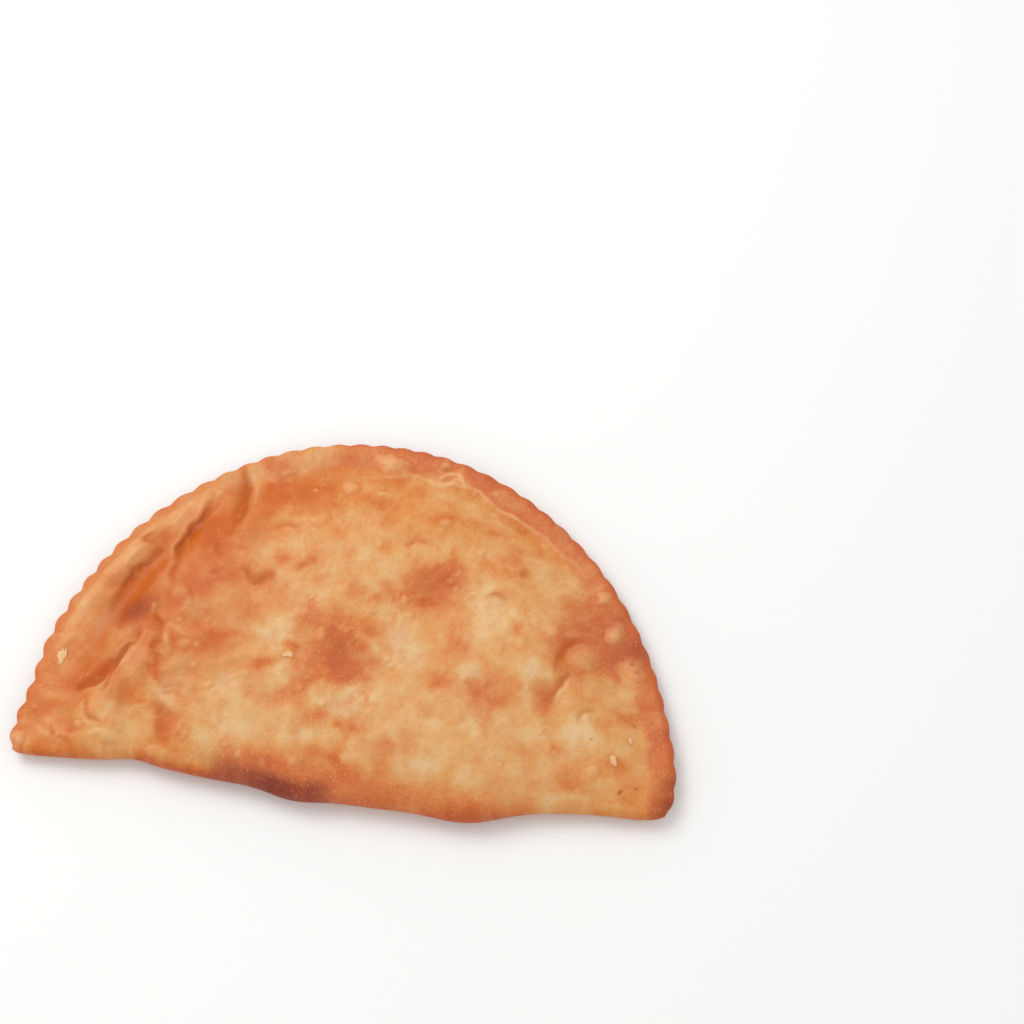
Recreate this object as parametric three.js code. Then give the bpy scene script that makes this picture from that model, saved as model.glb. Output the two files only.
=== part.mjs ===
// A cheburek: a half-moon of fried dough folded over a thin filling, sealed along its
// arc with a fluted wheel. It lies flat with its fold along X, towards -Y. Millimetres.
//
// The body is two sheets of one plan, joined all round by a rounded edge. Every grid point
// (a, b) of a half square is carried to a point of the half-moon and given two heights.

import * as THREE from 'three';

// ---- Plan ----
const HALF_LENGTH = 103; // half the fold, tip to tip
const ARC_DEPTH = 113.75; // from the chord between the tips to the top of the arc
const LIP = 1.8; // how far the rounded edge stands out past the two sheets
const FOLD_ROLL = 1.9; // extra reach of the thick rounded fold at its middle
const FOLD_FADE = 85; // how far in the fold's own line still bends the plan

// Broad swellings of the fold line: [centre x, half width, reach towards -Y].
const FOLD_BULGES = [
  [14, 40, 5.2],
  [41, 13, 3.2],
  [-13, 10, 2.2],
  [-36, 13, 0.7],
  [-64, 8, -1.6],
  [-72, 18, -0.7],
  [80, 14, -0.6],
];

// Where the arc leaves a true half ellipse: [angle in degrees, half width, share of the radius].
const ARC_SWELLS = [
  [7, 7, 0.009],
  [169, 6, -0.016],
  [150, 14, -0.002],
];

// How far each tip is rounded off: [side, softness]. Side 1 is +X.
const TIPS = [
  [1, 4.2],
  [-1, 1.8],
];
const TIP_PULL = 0.42; // share of the softness that the tip itself moves in

// ---- Heights ----
// All above z = 0, the flat of the underside.
const RIM_TOP = 5.8; // upper face of the pressed rim
const RIM_LIFT = 2.6; // underside of the pressed rim
const RIM_BAND = 6.5; // width of the flat pressed band
const LIFT_REACH = 16; // how far in the underside of the rim comes down to the flat
const CROWN = 17.8; // top of the filled pocket
const RIM_SHOULDER = 15; // width of the pocket's slope above the rim
const FOLD_SHOULDER = 16; // width of the pocket's slope above the fold
const FOLD_TOP = 10; // upper face where the fold's rounding starts
const FOLD_REACH = 25; // how far in the fold still carries the crust
const FOLD_LIFT = 0.6; // underside of the fold
const FOLD_LIFT_REACH = 8; // how far in the underside of the fold comes down to the flat
const FOLD_OPENING = 30; // degrees that the fold's rounding stops short of a half turn, at each end

// ---- Fluted edge ----
const FLUTE_PITCH = 7.9; // one scallop of the fluted wheel
const FLUTE_DEPTH = 1.1;
const FLUTE_START = 0.78; // share of a scallop at the right tip

// ---- Mesh fineness ----
const COLUMNS = 76; // along the fold, an even number
const ROWS = 38; // from the fold to the arc, an even number

// Ridges (plus) and valleys (minus) in the crust: height, half width and the line they follow.
const FOLDS = [
  { height: 2.4, width: 6, line: [[-93, 24], [-88, 42], [-79, 62], [-65, 78], [-47, 92]] },
  { height: -3.0, width: 5, line: [[-84, 24], [-78, 45], [-69, 62], [-60, 72], [-48, 80]] },
  { height: -1.6, width: 3.2, line: [[-42.5, 98], [-42, 92], [-42, 85], [-41.5, 78]] },
  { height: -1.5, width: 3, line: [[-68, 38], [-71, 33], [-75, 27], [-80, 21], [-84, 18]] },
  { height: 1.2, width: 3.4, line: [[-62, 36], [-67, 28], [-73, 21], [-79, 16]] },
  { height: -1.0, width: 3, line: [[-62, 51], [-60.5, 45], [-60, 39], [-59, 30]] },
  { height: -1.0, width: 3.2, line: [[63, 45], [65, 50], [70, 53]] },
  { height: -0.9, width: 3, line: [[67, 40], [65, 36], [62, 30]] },
];

// Domed blisters and shallow dents: [x, y, half width in X, half width in Y, height].
const SPOTS = [
  [3.5, 106, 6.5, 4, 0.9],
  [71, 48, 5, 4.5, 1.3],
  [80.5, 57, 4, 5, 1.1],
  [86, 46, 6, 6.5, 1.3],
  [-68, 48, 6, 5, -1.2],
  [-55.5, 14.5, 4, 7, -1.1],
  [-32, 94, 5, 7, -0.9],
  [-31, 60, 7, 5, -0.8],
  [24, 62, 10, 8, -0.9],
  [-4, 39, 12, 10, -0.7],
  [43, 33, 9, 7, -0.5],
  [60, 34, 4, 7, -0.8],
];

// A hump of height 1 that fades to both sides.
const bell = (q) => Math.exp(-q * q);

// From 0 at the start up to 1; a higher power starts more gently.
const rise = (q, power) => 1 - Math.exp(-(Math.max(q, 0) ** power));

// The middle of the fold is thick and round; it thins out towards both tips.
const foldTaper = (x) => Math.max(1 - (x / HALF_LENGTH) ** 2, 0) ** 0.75;

const foldInset = (x) => LIP + FOLD_ROLL * foldTaper(x);

function foldLine(x) {
  return -FOLD_BULGES.reduce((sum, [at, width, reach]) => sum + reach * bell((x - at) / width), 0);
}

// A half square (a from -1 to 1, b from 0 to 1) turned into a half disc: each square ring
// becomes a half circle, so the rows follow both the fold and the arc.
function halfDisc(a, b) {
  const radius = Math.max(Math.abs(a), b);
  if (radius === 0) return { radius, angle: Math.PI / 2 };
  if (b > Math.abs(a)) return { radius, angle: (Math.PI / 4) * (2 - a / radius) };
  const lift = (Math.PI / 4) * (b / radius);
  return { radius, angle: a > 0 ? lift : Math.PI - lift };
}

// Distance from the chord's middle to the border of the sheets, in one direction.
function arcReach(angle) {
  const degrees = THREE.MathUtils.radToDeg(angle);
  let swell = 1;
  for (const [at, width, share] of ARC_SWELLS) swell += share * bell((degrees - at) / width);
  return swell * Math.hypot((HALF_LENGTH - LIP) * Math.cos(angle), (ARC_DEPTH - LIP) * Math.sin(angle));
}

// Plan of both sheets: where the grid point (a, b) lies, and how far it is from rim and fold.
function planPoint(a, b) {
  const { radius, angle } = halfDisc(a, b);
  const across = (HALF_LENGTH - LIP) * Math.cos(angle);
  const up = (ARC_DEPTH - LIP) * Math.sin(angle);
  const reach = arcReach(angle);
  const long = Math.hypot(across, up);
  let x = (radius * reach * across) / long;
  let y = (radius * reach * up) / long;
  y += (foldLine(x) + foldInset(x)) * Math.max(1 - y / FOLD_FADE, 0) ** 3;
  for (const [side, softness] of TIPS) {
    const fromTip = Math.max(HALF_LENGTH - LIP - side * x, 0) + Math.max(y - LIP, 0);
    const pull = TIP_PULL * softness * Math.exp(-fromTip / softness);
    x -= side * pull;
    y += pull;
  }
  const fromFold = Math.max(y - foldLine(x) - foldInset(x), 0);
  return { x, y, angle, fromRim: (1 - radius) * reach, fromFold };
}

// Distance from a point to a line of points, with the share of the line's length it lies at.
function nearestOnLine(x, y, line) {
  let best = { distance: Infinity, share: 0 };
  for (let k = 0; k + 1 < line.length; k += 1) {
    const [x0, y0] = line[k];
    const [dx, dy] = [line[k + 1][0] - x0, line[k + 1][1] - y0];
    const along = THREE.MathUtils.clamp(((x - x0) * dx + (y - y0) * dy) / (dx * dx + dy * dy), 0, 1);
    const distance = Math.hypot(x - x0 - along * dx, y - y0 - along * dy);
    if (distance < best.distance) best = { distance, share: (k + along) / (line.length - 1) };
  }
  return best;
}

// Folds, blisters, dents and the slow unevenness of the filled pocket.
function crustRelief({ x, y, fromRim, fromFold }) {
  let height = 0;
  for (const { height: crest, width, line } of FOLDS) {
    const { distance, share } = nearestOnLine(x, y, line);
    height += crest * bell(distance / width) * Math.sin(Math.PI * (0.1 + 0.8 * share));
  }
  for (const [atX, atY, halfX, halfY, crest] of SPOTS) {
    height += crest * bell(Math.hypot((x - atX) / halfX, (y - atY) / halfY));
  }
  const slow = 0.55 * Math.sin(x / 17 + 0.8) * Math.sin(y / 15 + 0.4) + 0.4 * Math.sin(x / 9.5 - y / 13);
  const onPocket = rise((fromRim - RIM_BAND) / 12, 2) * rise(fromFold / 14, 2);
  return height * rise(fromFold / 3, 2) * rise(fromRim / 2, 2) + slow * onPocket;
}

// The rim doesn't lie level: it waves a little on its way round the arc.
const rimWave = (angle) => 0.6 * Math.sin(5 * angle + 0.5) + 0.3 * Math.sin(11 * angle);

function topHeight(point) {
  const edge = RIM_TOP + (FOLD_TOP - RIM_TOP) * foldTaper(point.x) * bell(point.fromFold / FOLD_REACH);
  const aboveRim = rise((point.fromRim - RIM_BAND) / RIM_SHOULDER, 1.4);
  const pocket = (CROWN - edge) * aboveRim * rise(point.fromFold / FOLD_SHOULDER, 1);
  return edge + pocket + rimWave(point.angle) * bell(point.fromRim / 14) + crustRelief(point);
}

// The underside is flat and lifts only under the rim and, a little, at the fold.
function undersideHeight({ angle, fromRim, fromFold }) {
  const underRim = Math.max(1 - fromRim / LIFT_REACH, 0) ** 2;
  const underFold = Math.max(1 - fromFold / FOLD_LIFT_REACH, 0) ** 2;
  return Math.max((RIM_LIFT + rimWave(angle)) * underRim, FOLD_LIFT * underFold);
}

// Scallops left by the fluted wheel, a little uneven in pitch and crisper at the left.
function flute(angle) {
  const along = (angle * (HALF_LENGTH + ARC_DEPTH)) / 2;
  const drift = 0.1 * Math.sin(along / 25) + 0.08 * Math.sin(along / 9.1 + 1);
  const turn = Math.PI * (along / FLUTE_PITCH + drift + FLUTE_START);
  const lobe = Math.sqrt(Math.sin(turn) ** 2 + 0.05) - 0.6;
  const crispness = 0.65 + 0.7 / (1 + Math.exp((2.3 - angle) / 0.16));
  return FLUTE_DEPTH * crispness * lobe;
}

// The closed walk round a grid: along the fold, up the right, back over the arc, down the left.
function borderWalk(columns, rows) {
  const walk = [];
  for (let i = 0; i < columns; i += 1) walk.push([i, 0]);
  for (let j = 0; j < rows; j += 1) walk.push([columns, j]);
  for (let i = columns; i > 0; i -= 1) walk.push([i, rows]);
  for (let j = rows; j > 0; j -= 1) walk.push([0, j]);
  return walk;
}

const gridPlan = (i, j, columns, rows) => planPoint((2 * i) / columns - 1, j / rows);

// Two triangles for each cell of a sheet, cut so that the halves mirror each other.
function sheetFaces(sheet, columns, rows, facesUp) {
  const faces = [];
  for (let i = 0; i < columns; i += 1) {
    for (let j = 0; j < rows; j += 1) {
      const [p, q, r, s] = [sheet[i][j], sheet[i + 1][j], sheet[i + 1][j + 1], sheet[i][j + 1]];
      const cell = i < columns / 2 ? [[p, q, s], [q, r, s]] : [[p, q, r], [p, r, s]];
      for (const [u, v, w] of cell) faces.push(...(facesUp ? [u, v, w] : [u, w, v]));
    }
  }
  return faces;
}

// The strip between two rings; where the lower one has half the points, three faces meet two.
function ringFaces(upper, lower) {
  const faces = [];
  const step = upper.length / lower.length;
  for (let n = 0; n < lower.length; n += 1) {
    const [near, far] = [lower[n], lower[(n + 1) % lower.length]];
    const [left, middle] = [upper[step * n], upper[step * n + 1 - (step === 1 ? 1 : 0)]];
    const right = upper[(step * (n + 1)) % upper.length];
    if (step === 2) faces.push(left, near, middle);
    faces.push(middle, near, far, middle, far, right);
  }
  return faces;
}

// One ring of the rounded edge, an arc of an ellipse bent round from the upper sheet to the
// lower one. Latitude is 1 at the upper sheet and -1 at the lower one.
function edgeRing(border, latitude, step, addVertex) {
  const ring = [];
  for (let n = 0; n < border.length; n += step) {
    const { point, onFold } = border[n];
    const before = border[(n + border.length - 1) % border.length].point;
    const after = border[(n + 1) % border.length].point;
    const [alongX, alongY] = [after.x - before.x, after.y - before.y];
    const long = Math.hypot(alongX, alongY);
    const opening = onFold ? FOLD_OPENING * foldTaper(point.x) : 0;
    const start = THREE.MathUtils.degToRad(90 - opening);
    const reach = onFold ? foldInset(point.x) : LIP + flute(point.angle);
    const out = (reach * (Math.cos(latitude * start) - Math.cos(start))) / (1 - Math.cos(start));
    const [high, low] = [topHeight(point), undersideHeight(point)];
    const z = (high + low) / 2 + (((high - low) / 2) * Math.sin(latitude * start)) / Math.sin(start);
    ring.push(addVertex(point.x + (out * alongY) / long, point.y - (out * alongX) / long, z));
  }
  return ring;
}

function crustGeometry() {
  const positions = [];
  const addVertex = (x, y, z) => positions.push(x, y, z) / 3 - 1;

  const top = [];
  for (let i = 0; i <= COLUMNS; i += 1) {
    top.push([]);
    for (let j = 0; j <= ROWS; j += 1) {
      const point = gridPlan(i, j, COLUMNS, ROWS);
      top[i].push(addVertex(point.x, point.y, topHeight(point)));
    }
  }

  const walk = borderWalk(COLUMNS, ROWS);
  const border = walk.map(([i, j]) => ({ point: gridPlan(i, j, COLUMNS, ROWS), onFold: j === 0 }));
  const rings = [
    walk.map(([i, j]) => top[i][j]),
    edgeRing(border, 0.5, 1, addVertex),
    edgeRing(border, 0, 1, addVertex),
    edgeRing(border, -0.5, 2, addVertex),
    edgeRing(border, -1, 2, addVertex),
  ];

  // The lower sheet is half as fine and shares the last ring as its border.
  const [columns, rows] = [COLUMNS / 2, ROWS / 2];
  const bottom = Array.from({ length: columns + 1 }, () => []);
  borderWalk(columns, rows).forEach(([i, j], n) => {
    bottom[i][j] = rings[rings.length - 1][n];
  });
  for (let i = 1; i < columns; i += 1) {
    for (let j = 1; j < rows; j += 1) {
      const point = gridPlan(i, j, columns, rows);
      bottom[i][j] = addVertex(point.x, point.y, undersideHeight(point));
    }
  }

  const triangles = [
    ...sheetFaces(top, COLUMNS, ROWS, true),
    ...sheetFaces(bottom, columns, rows, false),
    ...rings.slice(1).flatMap((lower, k) => ringFaces(rings[k], lower)),
  ];
  const geometry = new THREE.BufferGeometry();
  geometry.setAttribute('position', new THREE.Float32BufferAttribute(positions, 3));
  geometry.setIndex(triangles);
  return geometry;
}

// The origin is in the plane of the flat underside, under the middle of the bounding box.
function standOnOrigin(geometry) {
  geometry.computeBoundingBox();
  const { min, max } = geometry.boundingBox;
  geometry.translate(-(min.x + max.x) / 2, -(min.y + max.y) / 2, -min.z);
  geometry.computeVertexNormals();
  return geometry;
}

const friedCrust = new THREE.MeshStandardMaterial({ color: 0xd79059, roughness: 0.5, metalness: 0 });
const cheburek = new THREE.Mesh(standOnOrigin(crustGeometry()), friedCrust);
cheburek.name = 'cheburek';

const pastry = new THREE.Group();
pastry.add(cheburek);

export default pastry;
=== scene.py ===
"""The looks of a cheburek, a half-moon of fried dough, built round its CAD model.

The crust is one closed shell: an upper and a lower sheet on one plan, joined by a rounded
edge. Heights and stains are worked out for whole arrays of points, in millimetres of the
pastry's own plan: X along the fold, Y from the chord between the tips to the arc.
"""

import math
from collections import namedtuple

import bpy
import numpy as np
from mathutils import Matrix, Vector


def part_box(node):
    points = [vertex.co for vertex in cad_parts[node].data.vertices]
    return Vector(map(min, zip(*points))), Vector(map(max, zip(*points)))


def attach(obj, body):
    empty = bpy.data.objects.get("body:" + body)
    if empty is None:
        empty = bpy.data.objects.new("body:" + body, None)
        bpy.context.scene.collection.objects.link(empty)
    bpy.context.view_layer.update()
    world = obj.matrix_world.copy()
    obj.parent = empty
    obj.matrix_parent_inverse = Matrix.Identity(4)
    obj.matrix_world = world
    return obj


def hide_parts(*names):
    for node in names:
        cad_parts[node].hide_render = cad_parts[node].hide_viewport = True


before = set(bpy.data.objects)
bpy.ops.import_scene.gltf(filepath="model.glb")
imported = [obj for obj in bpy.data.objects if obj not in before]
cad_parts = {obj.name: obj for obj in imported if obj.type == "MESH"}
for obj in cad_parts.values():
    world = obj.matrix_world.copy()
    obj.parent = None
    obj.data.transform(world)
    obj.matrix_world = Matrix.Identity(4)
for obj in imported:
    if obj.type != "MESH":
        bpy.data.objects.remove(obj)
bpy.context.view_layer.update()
NODE = "cheburek"

bl_info = {
    "name": "Cheburek",
    "version": (1, 0, 0),
    "blender": (4, 5, 0),
    "location": "View3D > Sidebar > Cheburek",
    "description": "Builds a fried half-moon pastry round its CAD model, and a studio for it",
    "category": "Object",
}

MM = 0.001
# Of these, the third is painted shade in creases and hollows, also laid on scorches; the fourth is burn
# and painted shade; the fifth is pale skin and painted highlight on ridges.
STAINS = ("browning", "redness", "crease", "burn", "skin")  # what the mesh carries at its points
BROWNING = STAINS.index("browning")

# ---- The stage, in metres and degrees ----
FLOOR_GAP = 0.0002  # the floor lies this far below the pastry
KEY_PLACE = (-0.48, 0.42, 0.82)
CAMERA_TARGET = (0.0434, 0.04365, 0.0)
CAMERA_TURN, CAMERA_TILT, CAMERA_DISTANCE = 6.24, 70.0, 0.64816
SENSOR_WIDTH = 36.0  # mm

# ---- The form, as in the CAD model (mm) ----
HALF_LENGTH, ARC_DEPTH = 103.0, 113.75
LIP, FOLD_ROLL, FOLD_FADE = 1.8, 1.9, 85.0
RIM_TOP, RIM_LIFT, RIM_BAND, LIFT_REACH = 5.8, 2.6, 6.5, 16.0
CROWN, RIM_SHOULDER, FOLD_SHOULDER = 17.8, 15.0, 16.0
FOLD_TOP, FOLD_REACH, FOLD_LIFT, FOLD_LIFT_REACH, FOLD_OPENING = 10.0, 25.0, 0.6, 8.0, 30.0
FLUTE_PITCH, FLUTE_DEPTH, FLUTE_START = 7.9, 1.1, 0.78
TIP_PULL = 0.42
TIPS = [(1, 4.2), (-1, 1.8)]  # side, softness
FOLD_BULGES = [  # centre x, half width, reach towards -Y
    (14, 40, 5.2), (41, 13, 3.2), (-13, 10, 2.2), (-36, 13, 0.7), (-64, 8, -1.6), (-72, 18, -0.7),
    (80, 14, -0.6),
]
ARC_SWELLS = [(7, 7, 0.009), (169, 6, -0.016), (150, 14, -0.002)]  # degrees, half width, share
BROAD_FOLDS = [  # height, half width, run
    (2.4, 6, [(-93, 24), (-88, 42), (-79, 62), (-65, 78), (-47, 92)]),
    (-3.0, 5, [(-84, 24), (-78, 45), (-69, 62), (-60, 72), (-48, 80)]),
    (-1.6, 3.2, [(-42.5, 98), (-42, 92), (-42, 85), (-41.5, 78)]),
    (-1.5, 3, [(-68, 38), (-71, 33), (-75, 27), (-80, 21), (-84, 18)]),
    (1.2, 3.4, [(-62, 36), (-67, 28), (-73, 21), (-79, 16)]),
    (-1.0, 3, [(-62, 51), (-60.5, 45), (-60, 39), (-59, 30)]),
    (-1.0, 3.2, [(63, 45), (65, 50), (70, 53)]),
    (-0.9, 3, [(67, 40), (65, 36), (62, 30)]),
]
BROAD_SPOTS = [  # x, y, half width in X, half width in Y, height
    (3.5, 106, 6.5, 4, 0.9), (71, 48, 5, 4.5, 1.3), (80.5, 57, 4, 5, 1.1), (86, 46, 6, 6.5, 1.3),
    (-68, 48, 6, 5, -1.2), (-55.5, 14.5, 4, 7, -1.1), (-32, 94, 5, 7, -0.9), (-31, 60, 7, 5, -0.8),
    (24, 62, 10, 8, -0.9), (-4, 39, 12, 10, -0.7), (43, 33, 9, 7, -0.5), (60, 34, 4, 7, -0.8),
]

# ---- How finely the crust is made ----
COLUMNS, ROWS = 380, 190  # cells of the upper sheet; the lower one has half as many each way
UPPER_LATITUDES = (0.75, 0.5, 0.25, 0.0)  # rings of the edge with a point for each fine cell
LOWER_LATITUDES = (-0.3, -0.65, -1.0)  # rings with half as many; the last borders the lower sheet
LATTICE = 128  # squares of a noise's lattice before it repeats
HOLLOW_REACH = 8  # cells over which the height is averaged to find the hollows
SCRAP_POINTS = 28  # round a scrap of torn skin

# ---- Patches, strewn features and grain ----
# Shares of an oval's size between which a patch fades out
SHADE_FADE, BROWN_FADE, PALE_FADE, MARK_FADE = (0.1, 1.5), (0.1, 1.45), (0.3, 1.4), (0.5, 1.3)
SOFT_FROM, SOFT_ROOM = 0.6, 0.4  # browning past the first is squeezed into the second
STREWN_ANGLES = (0.05, math.pi - 0.05)  # random features keep just clear of the tips
LARGEST_SMALL_BLISTER = 1.9  # half width, mm
PAN_MARKS = 90  # blotches of the lower sheet
GLINT_CELL, GLINT_RADIUS = 0.0016, 0.12  # room for one painted glint (m), and its radius in cells
FLAKE_RELIEF = 0.0002  # height of the torn skin's grain, m
SCRAP_PROFILE = [  # share of the scrap's size, height over the crust
    (0.02, 0.28), (0.35, 0.27), (0.7, 0.25), (0.95, 0.2), (1, 0.1), (0.95, -0.02), (0.7, -0.2),
    (0.02, -0.3),
]

# ---- Creases: depth (minus is a ridge), half width, breadth (how many times wider the gentle
# ---- flank is: plus on the left of the run, minus on its right), ridge on the steep flank,
# ---- painted light (plus: painted shade in the trough; minus: a ridge painted pale as a
# ---- highlight), run ----
CREASES = [
    (1.2, 1, -3.6, 0.8, 1, [(-66.5, 42), (-68.5, 38), (-70, 35.6), (-71.8, 33), (-72.8, 30.5),
        (-75, 27.5), (-77.5, 24.8), (-81, 22.8), (-86, 20)]),
    (0.5, 0.6, -1.5, 0.3, 0.6, [(-70, 33.5), (-71.5, 30.5), (-73.5, 25.5), (-75.5, 20)]),
    (0.5, 0.6, 1.3, 0.5, 0.5, [(-79.5, 18.5), (-80.2, 16), (-79.6, 13.8), (-77.5, 12), (-75, 10.5)]),
    (0.7, 0.7, -1.8, 0.4, 0.75, [(-64.5, 54), (-63, 50), (-62.2, 46), (-60.7, 42), (-60, 38.6),
        (-61.2, 36), (-59.8, 32), (-60.8, 29)]),
    (1.4, 1.1, 3.6, 0.9, 1, [(-52, 92), (-53.8, 87), (-54.2, 83.5), (-55.3, 80), (-57.4, 76.8),
        (-59, 73.8), (-60.2, 70.5), (-59.6, 66), (-60.4, 61), (-58, 56)]),
    (0.9, 1.1, -3.2, 0.6, 0.9, [(-44.5, 103), (-43.4, 98.5), (-42.4, 94), (-42.5, 88), (-41.8, 83),
        (-43.2, 78), (-46, 73)]),
    (0.35, 1.2, 3, 0.4, 1, [(-64, 71), (-67.5, 67.5), (-71.5, 63.5), (-74.5, 60), (-77, 55)]),
    (-0.5, 1, 1, 0, -0.5, [(-79.5, 59), (-76, 64.5), (-72.5, 69), (-69.5, 72.5)]),
    (-0.4, 0.8, 1, 0, -0.6, [(-65, 77), (-62.5, 80.5), (-60, 85)]),
    (-0.3, 0.7, 1, 0, -0.3, [(-66, 36), (-68, 32), (-70.5, 28)]),
    (-0.4, 0.7, 1, 0, -0.6, [(-75, 31), (-73.5, 33.2), (-71, 36.3), (-67.5, 39)]),
    (-0.4, 0.8, 1, 0, -0.5, [(-57.5, 44), (-57.8, 39), (-57, 34)]),
    (-0.4, 0.8, 1, 0, -0.5, [(-39.5, 98), (-38.5, 93), (-39, 88)]),
    (0.7, 0.65, 2.2, 0.5, 0.9, [(-68.5, 76), (-70.5, 74.3), (-72, 73), (-70, 71.5), (-67.5, 70.5)]),
    (0.5, 0.7, 2, 0.3, 0.5, [(-49, 73), (-47, 70), (-45.5, 66.5)]),
    (0.7, 1, 1.8, 0.2, 0.6, [(-38, 65), (-36.3, 62.8), (-34.3, 60.6), (-32.6, 59.5), (-30, 61),
        (-26.5, 63)]),
    (0.5, 1, 1.5, 0.2, 0.4, [(-21, 64), (-18, 66.5), (-14.5, 69)]),
    (0.25, 1.1, 2, 0.2, 0.8, [(71, 53.2), (67.5, 51.8), (65, 49), (63.4, 45), (63.8, 41)]),
    (0.3, 0.9, -2.8, 0.3, 0.5, [(67.5, 42), (65.5, 38), (63.2, 35), (62.6, 31)]),
    (-0.25, 0.8, 1, 0, -0.6, [(68.5, 41), (66.8, 37.5), (64.8, 34.5), (64.2, 32)]),
    (0.4, 1.2, 1.3, 0, 0.5, [(50.8, 75.5), (50.4, 73), (49.6, 70.5)]),
    (0.4, 0.7, 1.3, 0.3, 0.35, [(-91, 9.5), (-89.5, 7), (-87.5, 4.5)]),
    (0.4, 0.7, 1.3, 0.2, 0.6, [(-48, 62.6), (-46.8, 61.4), (-45.8, 62.2), (-44.8, 61.2)]),
    (0.3, 1.8, 1.6, 0.1, 0.2, [(-57.5, 20), (-55.5, 14), (-56.5, 9)]),
    (0.4, 0.9, 1.5, 0.2, 0.35, [(-30, 78), (-26, 80), (-21, 79)]),
    (0.3, 0.8, 1.5, 0.2, 0.3, [(12, 76), (16, 78.5), (21, 78)]),
    (0.3, 0.8, -1.5, 0.2, 0.3, [(38, 62), (42, 64), (47, 63)]),
    (0.3, 0.7, 1.5, 0.2, 0.3, [(70, 27), (73, 30), (77, 31)]),
    (-0.4, 0.7, 1, 0, -0.6, [(60, 66), (63, 68), (66.5, 68.5), (70, 67.5)]),
    (-0.45, 0.6, 1, 0, -0.9, [(60, 71), (63, 73), (66.5, 72.5), (69, 70)]),
    (-0.3, 0.6, 1, 0, -0.5, [(46, 81), (50, 78.5), (56, 78), (60, 79)]),
    (-0.3, 0.6, 1, 0, -0.5, [(30, 92), (35, 90), (41, 89.5), (46, 87)]),
    (-0.25, 0.6, 1, 0, -0.3, [(38.5, 79), (36.5, 77), (35, 75.5)]),
    (-0.4, 0.6, 1, 0, -0.8, [(-8, 101), (0, 102), (8, 103.5), (14, 103), (20, 102), (30, 101.5),
        (41, 95), (53, 89), (58.5, 84.5), (65.5, 80), (70, 75)]),
    (-0.5, 0.7, 1, 0, -0.9, [(19.5, 102), (21, 104.5), (24.5, 106), (26.5, 104), (28, 101)]),
    (-0.4, 0.6, 1, 0, -0.8, [(22, 101), (25, 103.5), (30, 103)]),
    (-0.35, 0.8, 1, 0, -0.5, [(-83, 8), (-79, 7), (-73, 8), (-68, 7)]),
    (-0.3, 0.7, 1, 0, -0.4, [(-96, 10), (-93, 7), (-89, 6), (-86, 4)]),
]

# ---- Broad hollows and dark zones darkened with painted shade, by strength: x, y, half width
# ---- in X and in Y, and turn in degrees where there is one ----
SHADES = {
    0.12: [(-60, 31, 3, 6)],
    0.2: [(0, 88, 6, 3)],
    0.25: [(-16, 45, 4, 5), (-58, 47, 5, 7), (-18, 90, 10, 6)],
    0.3: [(-66, 43, 5, 8), (-36, 49, 4, 4), (-70, 33, 4, 5)],
    0.35: [(-24, 95, 9, 6, -5), (66, 47, 3.5, 6, -20), (-65, 53, 5, 6), (-76, 58, 4, 7, -35)],
    0.4: [
        (-80, 27, 9, 5, 55), (-90, 16, 9, 3.5, 5), (-57, 60, 7, 7), (-36, 76, 5, 5), (-39, 80, 7, 9),
        (-65, 57, 6, 8, -30), (-68, 64, 5, 8, -35),
    ],
    0.5: [
        (-46, 89, 5, 10, -10), (-60, 62, 7, 9, -20), (-31, 94, 4, 8), (-45, 71, 9, 6, 20),
        (-66, 50, 8, 9),
    ],
    0.6: [(-37, 83, 6, 8, 10)],
    0.7: [(-52, 78, 7, 8, 30)],
    0.75: [(-52, 74, 8, 10, 30)],
    0.8: [
        (-68, 58, 7, 13, -32), (-74, 26, 5, 8, 40), (-54, 69, 8, 8), (-68.5, 73.5, 4, 3, 30),
        (-54, 0.5, 8, 4),
    ],
    0.9: [(-71, 48, 7, 5.5)],
    1: [(-53, 77, 5, 5)],
}

# ---- Blisters: x, y, half width in X and in Y, turn in degrees, height, paleness ----
BLISTERS = [
    (3.5, 107, 6.3, 3.3, -12, 0.6, 0.7), (-8.5, 96.3, 2.5, 2.3, 0, 0.45, 0.6),
    (20.5, 108.5, 1.6, 1.4, 0, 0.4, 0.6), (61, 54, 2, 1.8, 0, 0.25, 0.45),
    (70.8, 47.6, 5.2, 4.8, 10, 0.15, 0.5), (80.5, 57.5, 3.2, 4.4, -20, 0.6, 0.9),
    (75.5, 69.5, 2.6, 2.2, 30, 0.4, 0.7), (86.3, 46.5, 4.8, 5.2, 12, 0.25, 0.7),
    (87.5, 40.5, 4.4, 5, 0, 0.2, 0.35), (77.5, 12, 2, 2, 0, 0.3, 0.6),
    (-100, 4.5, 1.8, 2.4, 0, 0.5, 0.8), (-87.5, 6.3, 1, 0.9, 0, 0.25, 0.6),
    (-63.5, 49, 1.2, 2, 10, 0.4, 0.8), (-52, 37, 2.2, 1.8, 0, 0.3, 0.3),
    (-10, 45, 1.8, 2.4, 10, 0.25, 0.5), (14, 59, 1.6, 2, 0, 0.25, 0.4), (36, 78, 2, 1.6, 20, 0.3, 0.5),
    (-24, 37, 3.6, 2.2, 10, 0.2, 0.2), (-30, 101, 3, 1.2, 20, 0.3, 0.7),
    (-56, 54, 3.4, 2.6, 20, 0.3, 0.5), (34, 69, 3, 2.4, 0, 0.12, 0.2), (10, 83, 2.6, 2, 0, 0.15, 0.3),
    (-16, 83, 3.2, 2.2, 20, 0.25, 0.4), (-5, 60, 3, 2.2, 0, 0.2, 0.3),
]
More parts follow.
